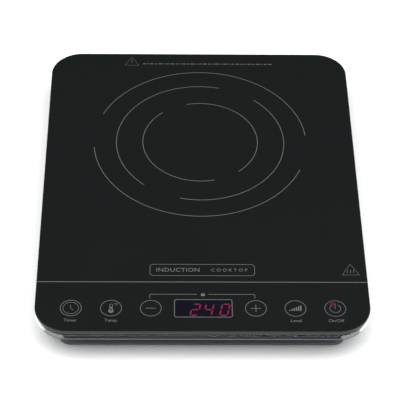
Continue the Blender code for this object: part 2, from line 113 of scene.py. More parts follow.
def moulded(name, colour, roughness, grain=2600.0, depth=0.02 * mm, **constants):
    """Moulded plastic or rubber: a fine grain, slow cloudy changes of colour, and scuffed gloss."""
    made, place, feed = new_material(name, **constants)
    cloud = place.node("TexNoise", Vector=place, Scale=38.0, Detail=3.0)
    fine = place.node("TexNoise", Vector=place, Scale=grain, Detail=2.0)
    scuff = place.node("TexNoise", Vector=place, Scale=210.0, Detail=6.0, Roughness=0.7)
    feed(
        Base_Color=cloud.mix(tint(colour, 0.88), tint(colour, 1.12)),
        Roughness=roughness - 0.06 + scuff * 0.12,
        Normal=place.node("Bump", Strength=0.35, Distance=depth, Height=fine),
    )
    return made


def add_piece(name, shape, material, body="cooktop", smooth=38, replaces=()):
    """A finished piece from a bmesh: shaded, given its material, and riding on its body."""
    mesh = bpy.data.meshes.new(name)
    shape.to_mesh(mesh)
    shape.free()
    mesh.shade_smooth()
    mesh.set_sharp_from_angle(angle=math.radians(smooth))
    mesh.materials.append(material)
    made = bpy.data.objects.new(name, mesh)
    bpy.context.scene.collection.objects.link(made)
    made.modifiers.new("even_normals", "WEIGHTED_NORMAL").keep_sharp = True
    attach(made, body)
    if replaces:
        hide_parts(*replaces)
    return made


def bevelled(shape, edges, offset, segments):
    """Rounds edges, or chamfers them with one segment."""
    bmesh.ops.bevel(
        shape, geom=edges, offset=offset, segments=segments, profile=0.5, affect="EDGES", material=-1
    )


def box(shape, x, y, z, corner=0.0, segments=4):
    """Adds a box between two values on each axis, its upright edges rounded."""
    made = bmesh.ops.create_cube(shape, size=1)["verts"]
    bmesh.ops.scale(shape, vec=(x[1] - x[0], y[1] - y[0], z[1] - z[0]), verts=made)
    middle = ((x[0] + x[1]) / 2, (y[0] + y[1]) / 2, (z[0] + z[1]) / 2)
    bmesh.ops.translate(shape, vec=middle, verts=made)
    if corner:
        upright = {e for v in made for e in v.link_edges if abs(e.verts[0].co.z - e.verts[1].co.z) > 1e-6}
        bevelled(shape, list(upright), corner, segments)


def post(shape, x, y, z, radius, segments=24):
    """Adds an upright cylinder."""
    made = bmesh.ops.create_cone(
        shape, cap_ends=True, segments=segments, radius1=radius, radius2=radius, depth=z[1] - z[0]
    )["verts"]
    bmesh.ops.translate(shape, vec=(x, y, (z[0] + z[1]) / 2), verts=made)


def absorb(shape, other):
    """Adds another bmesh's geometry to a shape, and frees the other."""
    mesh = bpy.data.meshes.new("absorbed")
    other.to_mesh(mesh)
    other.free()
    shape.from_mesh(mesh)
    bpy.data.meshes.remove(mesh)


def boolean(shape, operation, other):
    """The shape with the other cut from it, or joined to it. Both are used up."""
    blanks = []
    for part in (shape, other):
        mesh = bpy.data.meshes.new("blank")
        part.to_mesh(mesh)
        part.free()
        blanks.append(bpy.data.objects.new("blank", mesh))
        bpy.context.scene.collection.objects.link(blanks[-1])
    work = blanks[0].modifiers.new("work", "BOOLEAN")
    work.operation = operation
    work.use_self = True
    work.object = blanks[1]
    graph = bpy.context.evaluated_depsgraph_get()
    result = bmesh.new()
    result.from_mesh(blanks[0].evaluated_get(graph).to_mesh())
    for blank in blanks:
        bpy.data.objects.remove(blank)
    return result


glass_low, glass_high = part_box("glass_plate")
glass_corner = 28.7 * mm


def rounded_slab(inset, low, high, segments=20):
    """A solid with the glass's outline, drawn in by inset all round, between two heights."""
    shape = bmesh.new()
    half_x, half_y = glass_high.x - inset, glass_high.y - inset
    box(shape, (-half_x, half_x), (-half_y, half_y), (low, high), glass_corner - inset, segments)
    return shape


def level_edges(shape, height):
    """The edges that run round a slab at one height."""
    return [e for e in shape.edges if all(abs(v.co.z - height) < 1e-6 for v in e.verts)]


tray_low, tray_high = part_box("bottom_cover")
tray_inset, pocket_inset = glass_high.x - tray_high.x, 25.6 * mm
ledge, ledge_chamfer, tray_floor = 6.3 * mm, 2.4 * mm, tray_low.z + 2 * mm
tray = rounded_slab(tray_inset, tray_low.z, ledge, 14)
bevelled(tray, level_edges(tray, ledge), ledge_chamfer, 1)
chamfer_edges = level_edges(tray, ledge) + level_edges(tray, ledge - ledge_chamfer)
bevelled(tray, chamfer_edges, 0.25 * mm, 2)
bevelled(tray, level_edges(tray, tray_low.z), 0.4 * mm, 2)
tray = boolean(tray, "DIFFERENCE", rounded_slab(pocket_inset, tray_floor, 12 * mm, 6))

clearance = 0.3 * mm
board_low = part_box("power_board")[0].z - clearance
touch_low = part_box("control_board")[0].z - clearance
former_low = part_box("coil_former")[0].z + 4.4 * mm
zone_low, zone_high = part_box("mica_sheet")
zone_y = (zone_low.y + zone_high.y) / 2
fan_low, fan_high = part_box("fan_frame")
fan_x, fan_y = (fan_low.x + fan_high.x) / 2, (fan_low.y + fan_high.y) / 2

# Four posts under each board, three under the coil's former, pads for the cover screws, pins for
# the fan, and lips that stand just inside the housing's wall
posts = bmesh.new()
post_foot = tray_floor - mm
places = [(x * mm, y * mm, board_low) for x in (-23, 107) for y in (-119, -39)]
places += [(x * mm, y * mm, touch_low) for x in (-105, 105) for y in (-150, -133)]
former_reach = 74 * mm
for degrees in (30, 150, 270):
    angle = math.radians(degrees)
    places.append((former_reach * math.cos(angle), zone_y + former_reach * math.sin(angle), former_low))
for x, y, top in places:
    post(posts, x, y, (post_foot, top), 3 * mm)
screw_low, screw_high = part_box("cover_screw_rear_right")
screw_x, screw_y = (screw_low.x + screw_high.x) / 2, (screw_low.y + screw_high.y) / 2
foot_low, foot_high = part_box("foot_rear_right")
foot_x, foot_y = (foot_low.x + foot_high.x) / 2, (foot_low.y + foot_high.y) / 2
fan_pin_reach = 31 * mm
corners = [(side_x, side_y) for side_x in (-1, 1) for side_y in (-1, 1)]
for side_x, side_y in corners:
    post(posts, side_x * screw_x, side_y * screw_y, (post_foot, ledge - 0.1 * mm), 5.2 * mm)
    fan_pin_x, fan_pin_y = fan_x + side_x * fan_pin_reach, fan_y + side_y * fan_pin_reach
    post(posts, fan_pin_x, fan_pin_y, (post_foot, 12 * mm), 1.6 * mm)
lip_insets, lip_z = (25.8 * mm, 23.9 * mm), (4.3 * mm, 10 * mm)
for side in (-1, 1):
    x = sorted(side * (glass_high.x - inset) for inset in lip_insets)
    box(posts, x, (-130 * mm, 130 * mm), lip_z)
    y = sorted(side * (glass_high.y - inset) for inset in lip_insets)
    box(posts, (-95 * mm, 60 * mm), y, lip_z)
tray = boolean(tray, "UNION", posts)

# The intake grille in a circle under the fan, the rear vents, and the screws' and feet's holes
slots = bmesh.new()
under = (tray_low.z - mm, tray_floor + 2 * mm)
intake_pitch, intake_radius, intake_half = 5.2 * mm, 31 * mm, 1.3 * mm
for number in range(-5, 6):
    offset = number * intake_pitch
    half = math.sqrt(intake_radius**2 - offset**2)
    y = (fan_y + offset - intake_half, fan_y + offset + intake_half)
    box(slots, (fan_x - half, fan_x + half), y, under, 1.2 * mm)
first_vent, vent_pitch, vent_width = -82 * mm, 9 * mm, 3 * mm
for number in range(12):
    x = first_vent + vent_pitch * number
    box(slots, (x, x + vent_width), (118 * mm, 144 * mm), under, 1.4 * mm)
screw_hole, head_recess, foot_hole = 1.6 * mm, 3.1 * mm, 2.8 * mm
for side_x, side_y in corners:
    x, y = side_x * screw_x, side_y * screw_y
    post(slots, x, y, (tray_low.z - mm, 3.9 * mm), head_recess)
    post(slots, x, y, (3 * mm, 9 * mm), screw_hole)
    post(slots, side_x * foot_x, side_y * foot_y, (tray_low.z - mm, 6 * mm), foot_hole)
tray = boolean(tray, "DIFFERENCE", slots)

cover_grey = moulded("cover_grey_moulding", (0.080, 0.098, 0.102), 0.42)
add_piece("base_tray", tray, cover_grey, replaces=["bottom_cover"], smooth=30)


# ---- The feet -------------------------------------------------------------------------------
# Four turned feet of soft black rubber: a ribbed pad, and a barbed stem pushed up through the
# tray until the barb springs open.

def turned(profile, place, steps=48):
    """A solid turned round an upright axis from (radius, height) points in millimetres."""
    shape = bmesh.new()
    points = [shape.verts.new((radius * mm, 0, height * mm)) for radius, height in profile]
    chain = [shape.edges.new(pair) for pair in zip(points, points[1:])]
    if profile[0][0]:
        chain.append(shape.edges.new((points[-1], points[0])))
    bmesh.ops.spin(
        shape, geom=points + chain, cent=(0, 0, 0), axis=(0, 0, 1),
        angle=2 * math.pi, steps=steps, use_merge=True,
    )
    bmesh.ops.remove_doubles(shape, verts=shape.verts, dist=1e-7)
    bmesh.ops.recalc_face_normals(shape, faces=shape.faces)
    bmesh.ops.translate(shape, vec=place, verts=shape.verts)
    return shape


foot_rubber = moulded("foot_rubber", (0.018, 0.018, 0.019), 0.80, grain=900.0, depth=0.04 * mm)
foot_profile = [
    (0, 5.6), (1.6, 5.6), (2.6, 5.2), (3.6, 4.1), (2.5, 4.1), (2.5, 1.5), (8.6, 1.5), (9, 1.2),
    (9, 0.5), (8.5, 0),
]
for ring in (7.4, 5.8, 4.2):
    foot_profile += [(ring, 0), (ring - 0.2, 0.35), (ring - 0.6, 0.35), (ring - 0.8, 0)]
foot_profile.append((0, 0))
for end, side_y in (("front", -1), ("rear", 1)):
    for side, side_x in (("left", -1), ("right", 1)):
        foot = turned(foot_profile, (side_x * foot_x, side_y * foot_y, 0))
        cad_name = f"foot_{end}_{side}"
        add_piece(f"rubber_{cad_name}", foot, foot_rubber, replaces=[cad_name])


# ---- The cover screws -----------------------------------------------------------------------
# Four zinc-plated self-tapping screws with domed heads and cross recesses. They go up through
# the tray into the housing's bosses.

def plated(name, colour, roughness, scale=600.0):
    """Bright metal with a fine directionless grain and slightly uneven plating."""
    made, place, feed = new_material(name, metallic=1.0)
    bloom = place.node("TexNoise", Vector=place, Scale=scale, Detail=4.0)
    fine = place.node("TexNoise", Vector=place, Scale=scale * 6, Detail=1.0)
    feed(
        Base_Color=bloom.mix(tint(colour, 0.86), tint(colour, 1.08)),
        Roughness=roughness - 0.05 + bloom * 0.14,
        Normal=place.node("Bump", Strength=0.2, Distance=0.01 * mm, Height=fine),
    )
    return made


zinc = plated("zinc_plate", (0.60, 0.61, 0.60), 0.30)
screw_profile = [(0, 13.2), (0.5, 13.2)]
first_thread, thread_pitch = 12.6, 0.64
for thread in range(14):
    height = first_thread - thread_pitch * thread
    screw_profile += [(1.0, height), (1.32, height - thread_pitch / 2)]
screw_profile += [(1.1, 3.6), (2.8, 3.6), (2.8, 3.1), (2.5, 2.4), (1.9, 2.08), (0, 1.98)]
for end, side_y in (("front", -1), ("rear", 1)):
    for side, side_x in (("left", -1), ("right", 1)):
        place = (side_x * screw_x, side_y * screw_y, 0)
        screw = turned(screw_profile, place, 24)
        cross = bmesh.new()
        for reach_x, reach_y in ((1.5 * mm, 0.28 * mm), (0.28 * mm, 1.5 * mm)):
            x, y = (place[0] - reach_x, place[0] + reach_x), (place[1] - reach_y, place[1] + reach_y)
            box(cross, x, y, (1.5 * mm, 3.1 * mm))
        screw = boolean(screw, "DIFFERENCE", cross)
        cad_name = f"cover_screw_{end}_{side}"
        add_piece(f"cross_head_{end}_{side}", screw, zinc, replaces=[cad_name])


# ---- The rating plate -----------------------------------------------------------------------
# A silvery polyester label under the base. Its print is plain bars and boxes.

plate_low, plate_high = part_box("rating_plate")
plate = bmesh.new()
film_z = (plate_low.z + 0.03 * mm, plate_high.z)
box(plate, (plate_low.x, plate_high.x), (plate_low.y, plate_high.y), film_z, 2 * mm, 6)
label_film = moulded("label_film", (0.52, 0.53, 0.54), 0.38, grain=500.0, Coat_Weight=0.2)
add_piece("rating_label", plate, label_film, replaces=["rating_plate"])
bars = bmesh.new()
bar_z = (plate_low.z, plate_high.z - 0.1 * mm)
margin = row_pitch = mark_size = 5 * mm
row = plate_high.y - margin
for width in (40, 30, 34, 22, 36):
    x = plate_low.x + margin
    box(bars, (x, x + width * mm), (row - 1.6 * mm, row), bar_z)
    row -= row_pitch
for number in range(3):
    x, y = plate_low.x + (8 + 9 * number) * mm, plate_low.y + 3 * mm
    box(bars, (x, x + mark_size), (y, y + mark_size), bar_z, 0.8 * mm)
label_print = moulded("label_print", (0.06, 0.065, 0.07), 0.45)
add_piece("rating_label_print", bars, label_print)


# ---- The fan --------------------------------------------------------------------------------
# A 70 mm axial fan in black PBT: a square frame on four pins, a stator wound with enamelled wire,
# and a rotor with seven twisted blades that spins above it. Its lead plugs into the power board.

def dress(material, *names):
    """Gives CAD pieces their material."""
    for name in names:
        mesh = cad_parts[name].data
        mesh.materials.clear()
        mesh.materials.append(material)


fan_black = moulded("fan_black", (0.017, 0.017, 0.018), 0.42, grain=1800.0)
dress(fan_black, "fan_frame")


def wound(name, colour, axis, pitch):
    """Enamelled copper wire: ridges at the wire's pitch along one axis."""
    made, place, feed = new_material(name, metallic=0.9)
    waves = place.node(
        "TexWave", {"wave_type": "BANDS", "bands_direction": axis},
        Vector=place, Scale=0.314 / pitch, Distortion=0.6, Detail=1.0,
    )
    tone = place.node("TexNoise", Vector=place, Scale=160.0, Detail=3.0)
    feed(
        Base_Color=tone.mix(tint(colour, 0.75), tint(colour, 1.1)),
        Roughness=0.26 + tone * 0.14,
        Normal=place.node("Bump", Strength=0.6, Distance=0.15 * mm, Height=waves),
    )
    return made


dress(wound("stator_wire", (0.66, 0.30, 0.13), "Z", 0.5 * mm), "fan_stator")
hub = [
    (0, 17.5), (10.6, 17.5), (11.8, 17.1), (12.5, 16.2), (12.5, 7.0), (10.7, 7.0), (10.7, 16.0),
    (1.2, 16.0), (1.2, 6.7), (0, 6.7),
]
wheel = turned(hub, (0, 0, 0))
blade_count, blade_root, blade_reach, blade_middle = 7, 11.9 * mm, 17.9 * mm, 11.9 * mm
for number in range(blade_count):
    blade = bmesh.new()
    bmesh.ops.create_grid(blade, x_segments=10, y_segments=10, size=0.5)
    # Each point of the flat square goes to its place along the blade and across it.
    for v in blade.verts:
        along, across = v.co.x + 0.5, v.co.y
        radius = blade_root + blade_reach * along
        pitch = math.radians(46 - 16 * along)
        chord = (11.0 + 3.4 * along) * mm
        sweep = (across * math.cos(pitch) * chord + 1.6 * mm * along**2) / radius
        height = blade_middle + across * chord * math.sin(pitch) + 1.1 * mm * (1 - 4 * across**2)
        v.co = (radius * math.cos(sweep), radius * math.sin(sweep), height)
    bmesh.ops.solidify(blade, geom=blade.faces[:], thickness=0.9 * mm)
    turn = Matrix.Rotation(2 * math.pi * number / blade_count, 3, "Z")
    bmesh.ops.rotate(blade, cent=(0, 0, 0), matrix=turn, verts=blade.verts)
    absorb(wheel, blade)
bmesh.ops.translate(wheel, vec=(fan_x, fan_y, 0), verts=wheel.verts)
add_piece("fan_wheel", wheel, fan_black, body="rotor", replaces=["fan_rotor"])


# ---- The upper housing ----------------------------------------------------------------------
# The pan that carries the glass: glossy dark ABS with a short upright wall, a sloped underside
# for the fingers, slots at the rear for the warm air, and a flat flange under the silicone bead.

def loft(section, soften, steps=24):
    """A frame round the glass's outline. Its section is (inset, height) points in millimetres,
    each corner rounded to a small radius. Every loop's points are worked out afresh, so that the
    frame closes exactly and takes the Booleans below cleanly."""
    sharp = [Vector(point) * mm for point in section]
    rounded = []
    for i, here in enumerate(sharp):
        before, after = sharp[i - 1] - here, sharp[(i + 1) % len(sharp)] - here
        reach = min(soften, before.length / 2.1, after.length / 2.1)
        first, last = here + before.normalized() * reach, here + after.normalized() * reach
        rounded += [first, (first + last + 2 * here) / 4, last]
    shape = bmesh.new()
    loops = []
    for inset, height in rounded:
        loop = []
        for quarter, (side_x, side_y) in enumerate(((1, 1), (-1, 1), (-1, -1), (1, -1))):
            for step in range(steps + 1):
                angle = math.pi / 2 * (quarter + step / steps)
                x = side_x * (glass_high.x - glass_corner) + (glass_corner - inset) * math.cos(angle)
                y = side_y * (glass_high.y - glass_corner) + (glass_corner - inset) * math.sin(angle)
                loop.append(shape.verts.new((x, y, height)))
        loops.append(loop)
    for first, second in zip(loops, loops[1:] + loops[:1]):
        for i in range(len(first)):
            shape.faces.new((first[i - 1], first[i], second[i], second[i - 1]))
    bmesh.ops.recalc_face_normals(shape, faces=shape.faces)
    return shape


pan = loft(
    (
        (8.8, 33.3), (3.0, 33.3), (3.0, 30.7), (0.4, 30.7), (0.4, 29.5), (21.6, 14.5), (21.6, 6.6),
        (23.6, 6.6), (23.6, 15.5), (5.0, 28.7), (5.0, 31.3), (8.8, 31.3),
    ),
    0.3 * mm,
)
gland_low, gland_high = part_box("cord_gland")
gland_x, gland_z = (gland_low.x + gland_high.x) / 2, (gland_low.z + gland_high.z) / 2
outlet_face = glass_high.y - 12 * mm
joins = bmesh.new()
pan_foot = 6.6 * mm
box(joins, (gland_x - 10 * mm, gland_x + 10 * mm), (150 * mm, outlet_face), (pan_foot, 24 * mm))
for side_x, side_y in corners:
    post(joins, side_x * screw_x, side_y * screw_y, (pan_foot, 16.5 * mm), 4 * mm)
pan = boolean(pan, "UNION", joins)
cuts = bmesh.new()
for side_x, side_y in corners:
    post(cuts, side_x * screw_x, side_y * screw_y, (5 * mm, 14.5 * mm), screw_hole)
first_exhaust, exhaust_pitch, exhaust_width = -92 * mm, 18 * mm, 12 * mm
for number in range(8):
    x = first_exhaust + exhaust_pitch * number
    box(cuts, (x, x + exhaust_width), (152.4 * mm, 158.4 * mm), (9.8 * mm, 12.8 * mm))
bore = bmesh.new()
post(bore, 0, 0, (-15 * mm, 15 * mm), 5.3 * mm, 40)
bmesh.ops.rotate(bore, cent=(0, 0, 0), matrix=Matrix.Rotation(math.pi / 2, 3, "X"), verts=bore.verts)
bmesh.ops.translate(bore, vec=(gland_x, 158 * mm, gland_z), verts=bore.verts)
absorb(cuts, bore)
pan = boolean(pan, "DIFFERENCE", cuts)
housing_colour = (0.030, 0.038, 0.043)
housing_grey = moulded("housing_grey_moulding", housing_colour, 0.24, grain=1500.0, Coat_Weight=0.3)
add_piece("housing_pan", pan, housing_grey, replaces=["upper_housing"], smooth=30)


# ---- The bright rim -------------------------------------------------------------------------
# A thin frame of rolled aluminium, polished and lacquered. It lies under the edge of the glass,
# and its narrow face leans back, so it catches the light to either side.

rim_metal, place, feed = new_material("polished_rim", metallic=1.0)
streak = place.node("TexNoise", Vector=place, Scale=900.0, Detail=2.0)
feed(
    Base_Color=streak.mix((0.71, 0.72, 0.74, 1), (0.79, 0.80, 0.82, 1)),
    Roughness=0.10 + streak * 0.06,
)
rim = loft(((0.1, 31.0), (1.5, 33.4), (2.7, 33.4), (2.7, 31.0)), 0.06 * mm)
add_piece("bright_rim", rim, rim_metal, replaces=["trim_rim"], smooth=60)


# ---- The glass ------------------------------------------------------------------------------
# A sheet of black glass-ceramic, its edge ground and polished round. The marks are enamel,
# printed on the top and fired, a few hundredths of a millimetre thick.

ink = 0.04 * mm
glass_top = glass_high.z - ink
glass = rounded_slab(0, glass_low.z, glass_top, segments=28)
bevelled(glass, level_edges(glass, glass_top), 0.5 * mm, 4)
bevelled(glass, level_edges(glass, glass_low.z), 1.3 * mm, 5)
black_glass, place, feed = new_material("black_glass_ceramic", IOR=1.50, Specular_IOR_Level=0.38)
cloud = place.node("TexNoise", Vector=place, Scale=9.0, Detail=2.0)
wipe = place.node("TexNoise", Vector=place, Scale=60.0, Detail=5.0, Roughness=0.6)
speck = place.node("TexNoise", Vector=place, Scale=1400.0, Detail=1.0)
feed(
    Base_Color=cloud.mix((0.0064, 0.0074, 0.0073, 1), (0.0078, 0.0087, 0.0086, 1)),
    Roughness=0.10 + wipe * 0.06,
    Normal=place.node("Bump", Strength=0.06, Distance=0.01 * mm, Height=speck),
)
add_piece("glass_sheet", glass, black_glass, replaces=["glass_plate"])


# ---- The silicone bead and the cord's gland -------------------------------------------------
# A bead of black silicone bonds the glass to its flange. The gland is soft PVC, with two ribs
# round the flange that shows.

silicone = moulded("black_silicone", (0.016, 0.016, 0.017), 0.60, grain=1200.0)
bead = loft(((3.7, 33.6), (3.7, 35.7), (8.8, 35.7), (8.8, 33.6)), 0.5 * mm)
add_piece("silicone_bead", bead, silicone, replaces=["glass_gasket"])
gland = turned(
    (
        (3.7, 2.4), (4.1, 2.8), (5.6, 2.8), (6.0, 2.4), (6.0, 2.0), (5.7, 1.8), (5.7, 1.5), (6.0, 1.3),
        (6.0, 0.5), (5.8, 0.3), (5.0, 0.3), (5.0, -16.6), (4.6, -17.0), (3.7, -17.0),
    ),
    (0, 0, 0),
)
bmesh.ops.rotate(gland, cent=(0, 0, 0), matrix=Matrix.Rotation(-math.pi / 2, 3, "X"), verts=gland.verts)
bmesh.ops.translate(gland, vec=(gland_x, outlet_face, gland_z), verts=gland.verts)
add_piece("ribbed_gland", gland, silicone, replaces=["cord_gland"])


# ---- The printed marks ----------------------------------------------------------------------
# Grey ceramic enamel: three broken rings for the pan, a line across the front, and the keys.

front = glass_low.y


class Print:
    """Enamel lines and solid marks on the glass, gathered in one mesh. Sizes are in millimetres,
    x from the middle of the glass and y from its front edge."""

    def __init__(self):
        self.shape = bmesh.new()

    def on_glass(self, x, y):
        return Vector((x * mm, front + y * mm, 0))

    def line(self, points, width, closed=False):
        """A stroke through the points: a round bead, pressed flat."""
        curve = bpy.data.curves.new("stroke", "CURVE")
        curve.dimensions = "3D"
        curve.bevel_depth = width * mm / 2
        curve.bevel_resolution = 2
        curve.use_fill_caps = True
        spline = curve.splines.new("POLY")
        spline.use_cyclic_u = closed
        spline.points.add(len(points) - 1)
        for target, (x, y) in zip(spline.points, points):
            target.co = (*self.on_glass(x, y), 1)
        stroke = bpy.data.objects.new("stroke", curve)
        bpy.context.scene.collection.objects.link(stroke)
        graph = bpy.context.evaluated_depsgraph_get()
        mesh = bpy.data.meshes.new_from_object(stroke.evaluated_get(graph))
        bpy.data.objects.remove(stroke)
        self.take(mesh, ink / (width * mm / 2))

    def take(self, mesh, flatten):
        """Adds a mesh that lies round z = 0, flattened, with its top at the top of the enamel."""
        before = set(self.shape.verts)
        self.shape.from_mesh(mesh)
        bpy.data.meshes.remove(mesh)
        new = [v for v in self.shape.verts if v not in before]
        bmesh.ops.scale(self.shape, vec=(1, 1, flatten), verts=new)
        bmesh.ops.translate(self.shape, vec=(0, 0, glass_top), verts=new)
        bmesh.ops.remove_doubles(self.shape, verts=new, dist=1e-7)

    def arc(self, x, y, radius, start, end, width, steps=None):
        """A stroke along a circle, between two angles in degrees, counterclockwise from the right."""
        steps = steps or max(8, int((end - start) / 3))
        angles = [math.radians(start + (end - start) * n / steps) for n in range(steps + 1)]
        closed = abs(end - start) >= 360
        points = [(x + radius * math.cos(a), y + radius * math.sin(a)) for a in angles]
        self.line(points[:-1] if closed else points, width, closed)

    def frame(self, x, y, radius, width):
        """A rectangle's outline with round corners, between two values on each axis."""
        points = []
        for quarter, (side_x, side_y) in enumerate(((1, 1), (0, 1), (0, 0), (1, 0))):
            middle_x = x[side_x] - (1 if side_x else -1) * radius
            middle_y = y[side_y] - (1 if side_y else -1) * radius
            for step in range(7):
                angle = math.pi / 2 * (quarter + step / 6)
                points.append((middle_x + radius * math.cos(angle), middle_y + radius * math.sin(angle)))
        self.line(points, width, closed=True)

    def bar(self, x, y):
        """A solid rectangle."""
        low, high = self.on_glass(x[0], y[0]), self.on_glass(x[1], y[1])
        box(self.shape, (low.x, high.x), (low.y, high.y), (glass_top - ink, glass_top + ink))

    def disc(self, x, y, radius):
        place = self.on_glass(x, y)
        post(self.shape, place.x, place.y, (glass_top - ink, glass_top + ink), radius * mm)

    def word(self, text, x, y, size, spacing=1.0):
        """Lettering, centred."""
        letters = bpy.data.curves.new("letters", "FONT")
        letters.body = text
        letters.size = size * mm
        letters.space_character = spacing
        letters.align_x = letters.align_y = "CENTER"
        letters.extrude = ink
        letters.resolution_u = 3
        shown = bpy.data.objects.new("letters", letters)
        bpy.context.scene.collection.objects.link(shown)
        graph = bpy.context.evaluated_depsgraph_get()
        mesh = bpy.data.meshes.new_from_object(shown.evaluated_get(graph))
        bpy.data.objects.remove(shown)
        mesh.transform(Matrix.Translation(self.on_glass(x, y)))
        self.take(mesh, 1)


def enamel(name, colour):
    """Fired enamel: slightly uneven in colour, satin."""
    made, place, feed = new_material(name)
    cover = place.node("TexNoise", Vector=place, Scale=700.0, Detail=2.0)
    feed(
        Base_Color=cover.mix(tint(colour, 0.85), tint(colour, 1.15)),
        Roughness=0.38 + cover * 0.12,
    )
    return made


zone_place = (zone_y - front) / mm
rings = Print()
ring_arc, ring_width = 152.5, 0.50
for radius, first in ((96.9, 5.0), (76.5, 76.2), (52.4, 131.1)):
    for start in (first, first + 179.8):
        rings.arc(0, zone_place, radius, start, start + ring_arc, ring_width)
add_piece("zone_rings", rings.shape, enamel("ring_enamel", (0.118, 0.122, 0.120)))

# The circles of the five grey keys
marks = Print()
key_y, key_radius, key_line = 26.2, 8.75, 0.5
timer, heat, minus, plus, level, power_x = -109.7, -76.3, -43.2, 44.3, 77.3, 110.5
for x in (timer, heat, minus, plus, level):
    marks.arc(x, key_y, key_radius, 0, 360, key_line, steps=48)

# A clock face, and a thermometer with its degree sign
marks.arc(timer, key_y, 6.5, 0, 360, 0.4, steps=36)
marks.line([(timer - 0.4, key_y + 3.4), (timer - 0.4, key_y), (timer + 2.2, key_y - 2.4)], 0.42)
marks.arc(heat, key_y + 3.4, 1.2, 0, 180, 0.45, steps=8)
marks.line([(heat - 1.2, key_y + 3.4), (heat - 1.2, key_y - 2.2)], 0.45)
marks.line([(heat + 1.2, key_y + 3.4), (heat + 1.2, key_y - 2.2)], 0.45)
marks.disc(heat, key_y - 3.3, 2.2)
marks.bar((heat - 0.6, heat + 0.6), (key_y - 3, key_y + 1.6))
marks.arc(heat + 3.2, key_y + 4.9, 0.5, 0, 360, 0.25, steps=10)
marks.arc(heat + 5.0, key_y + 4.2, 1.0, 50, 310, 0.3, steps=10)

# Minus, plus, and six rising bars
sign = 4.2
marks.line([(minus - sign, key_y), (minus + sign, key_y)], key_line)
marks.line([(plus - sign, key_y), (plus + sign, key_y)], key_line)
marks.line([(plus, key_y - sign), (plus, key_y + sign)], key_line)
bar_pitch, bar_width, bar_foot = 1.85, 1.2, key_y - 2.7
for number in range(6):
    left = level - 5.4 + bar_pitch * number
    marks.bar((left, left + bar_width), (bar_foot, bar_foot + 0.8 + number))
for x, text in ((timer, "Timer"), (heat, "Temp"), (level, "Level"), (power_x, "On/Off")):
    marks.word(text, x, 12.4, 4.4)

# The line across the glass, the display's frame, and the bracket that joins minus and plus, with
# a padlock in the middle
marks.line([(-139.0, 56.0), (139.0, 56.0)], 0.75)
marks.frame((-23.5, 24.5), (16.4, 35.9), 1.6, 0.65)
marks.line([(-44.3, 37.3), (-44.3, 41.3), (-43.7, 41.9), (-4.6, 41.9)], 0.5)
marks.line([(5.0, 41.9), (43.2, 41.9), (43.8, 41.3), (43.8, 37.3)], 0.5)
marks.bar((-1.3, 1.9), (39.9, 42.4))
marks.arc(0.3, 42.4, 1.0, 0, 180, 0.4, steps=8)

# The name in its box, a caution triangle at the right, and one at the back with a row of dashes
marks.frame((-44.3, 44.6), (63.4, 76.5), 3.0, 0.45)
marks.word("INDUCTION", -20.6, 69.8, 6.4, spacing=1.05)
marks.word("COOKTOP", 23.0, 69.7, 4.8, spacing=1.5)
marks.line([(119.0, 64.6), (126.3, 77.2), (133.6, 64.6)], 0.6, closed=True)
for x in (123.7, 126.3, 128.9):
    marks.line([(x, 66.9), (x, 70.4)], 0.45)
marks.line([(-70.9, 338.8), (-64.2, 351.0), (-57.5, 338.8)], 0.5, closed=True)
marks.line([(-64.2, 342.6), (-64.2, 347.2)], 0.5)
left, dash_gap = -53.5, 1.24
for width in (2.6, 1.4, 3.4, 2.0, 4.2, 1.2, 2.8, 3.6) * 4:
    marks.bar((left, left + width), (340.5, 341.5))
    left += width + dash_gap
add_piece("key_marks", marks.shape, enamel("mark_enamel", (0.098, 0.101, 0.100)))

# The power key has a bluish enamel of its own
power = Print()
power.arc(power_x, key_y, key_radius, 0, 360, key_line, steps=48)
power.arc(power_x, key_y, 4.5, 122, 418, key_line, steps=30)
power.line([(power_x, key_y - 0.5), (power_x, key_y + 5.6)], key_line)
add_piece("power_mark", power.shape, enamel("power_enamel", (0.090, 0.082, 0.125)))


# ---- The display ----------------------------------------------------------------------------
# A smoked window in the glass, with red seven-segment digits lit from below, and beside the
# power key a painted glow: a disc on the glass whose emission stands for a red lamp's light.

window = Print()
window.bar((-23.2, 24.2), (16.7, 35.6))
# The window's film is thinner than the enamel round it.
for v in window.shape.verts:
    v.co.z = min(v.co.z, glass_top + 0.25 * ink)
smoke, place, feed = new_material("smoked_window")
cloud = place.node("TexNoise", Vector=place, Scale=120.0, Detail=2.0)
feed(
    Base_Color=cloud.mix((0.0036, 0.0032, 0.0066, 1), (0.0046, 0.0042, 0.0086, 1)),
    Roughness=0.12 + cloud * 0.05,
)
add_piece("display_window", window.shape, smoke)

digits = Print()
segments = {
    "a": ((0, 2), (1, 2)), "b": ((1, 2), (1, 1)), "c": ((1, 1), (1, 0)), "d": ((0, 0), (1, 0)),
    "e": ((0, 1), (0, 0)), "f": ((0, 2), (0, 1)), "g": ((0, 1), (1, 1)),
}
digit_width, half_height, digit_foot, lean = 6.4, 6.2, 18.4, 0.20
for left, lit in ((-10.6, "abged"), (0.6, "fgbc"), (14.0, "abcdef")):
    for name in lit:
        ends = []
        # Each stroke stops short of its corner, so that the strokes stay apart.
        (ax, ay), (bx, by) = segments[name]
        for x, y, toward_x, toward_y in ((ax, ay, bx - ax, by - ay), (bx, by, ax - bx, ay - by)):
            up = y * half_height + toward_y * 0.75
            ends.append((left + x * digit_width + toward_x * 0.9 + up * lean, digit_foot + up))
        digits.line(ends, 1.2)
lit_red, place, feed = new_material("lit_segments", Emission_Strength=1.0)
glow = place.node("TexNoise", Vector=place, Scale=400.0, Detail=1.0)
